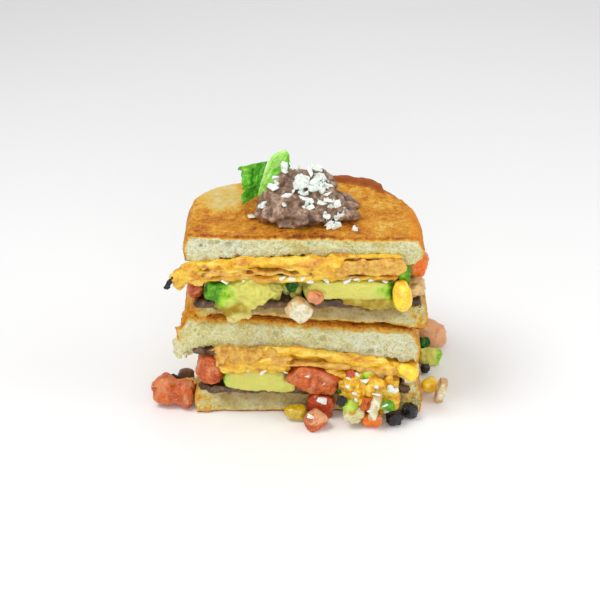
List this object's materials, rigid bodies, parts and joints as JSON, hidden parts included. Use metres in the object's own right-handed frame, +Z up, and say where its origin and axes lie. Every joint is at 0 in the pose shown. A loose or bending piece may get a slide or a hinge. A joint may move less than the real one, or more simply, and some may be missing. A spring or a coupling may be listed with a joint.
{
  "type": "grilled cheese sandwich",
  "caption": "Grilled cheese sandwich on white bread, cut in half with the halves stacked, filled with cheese, tortilla, avocado, tomato, corn and onion under a bean dollop.",
  "frame": {"origin": "on the flat underside of the lowest slice, near the middle of it, 30 mm behind the cut faces", "axes": "+X along the cut from left to right as seen from the front, +Y from the cut into the sandwich, +Z up"},
  "size_m": [0.1501, 0.0896, 0.1214],
  "materials": {
    "bread": "grilled white bread: browned outside, pale open crumb at the cut",
    "cheese": "melted cheese, softly glossy",
    "tortilla": "crisp fried tortilla, satin",
    "beans": "mashed refried beans, moist and lumpy",
    "filling": "mixed filling of avocado, corn and onion bound with cheese, moist",
    "avocado": "ripe avocado, green at the rim and buttery yellow inside, satin",
    "tomato": "diced tomato, wet",
    "corn": "sweetcorn, glossy",
    "onion": "soft cooked onion, moist",
    "olive": "black olive and black bean, moist",
    "leaf": "fresh herb leaf, satin"
  },
  "bodies": {
    "root": {"avocado_front": "avocado", "avocado_lower": "avocado", "avocado_lower_side": "avocado", "avocado_right": "avocado", "avocado_upper_end": "avocado", "avocado_upper_left": "avocado", "avocado_upper_right": "avocado", "bean_dollop": "beans", "bean_fallen": "olive", "beans_upper_right": "beans", "bread_fallen": "bread", "cheese_corner": "cheese", "cheese_spill": "cheese", "corn_front": "corn", "corn_lower_right": "corn", "corn_right": "corn", "corn_upper": "corn", "garnish_leaf": "leaf", "herb_right": "leaf", "herb_upper": "leaf", "lower_beans": "beans", "lower_bottom_bread": "bread", "lower_cheese": "cheese", "lower_filling": "filling", "lower_top_bread": "bread", "lower_tortilla": "tortilla", "olive_fallen": "olive", "olive_front": "olive", "olive_front_left": "olive", "olive_front_right": "olive", "olive_right": "olive", "olive_upper_left": "olive", "onion_front": "onion", "onion_lower_right": "onion", "onion_right": "onion", "onion_upper": "onion", "tomato_fallen": "tomato", "tomato_front": "tomato", "tomato_front_dark": "tomato", "tomato_front_right": "tomato", "tomato_lower_back": "tomato", "tomato_lower_left": "tomato", "tomato_lower_middle": "tomato", "tomato_right": "tomato", "tomato_upper_left": "tomato", "tomato_upper_middle": "tomato", "tomato_upper_right": "tomato", "tortilla_fallen": "tortilla", "upper_beans": "beans", "upper_bottom_bread": "bread", "upper_cheese": "cheese", "upper_filling": "filling", "upper_top_bread": "bread", "upper_tortilla": "tortilla"}
  },
  "joints": []
}
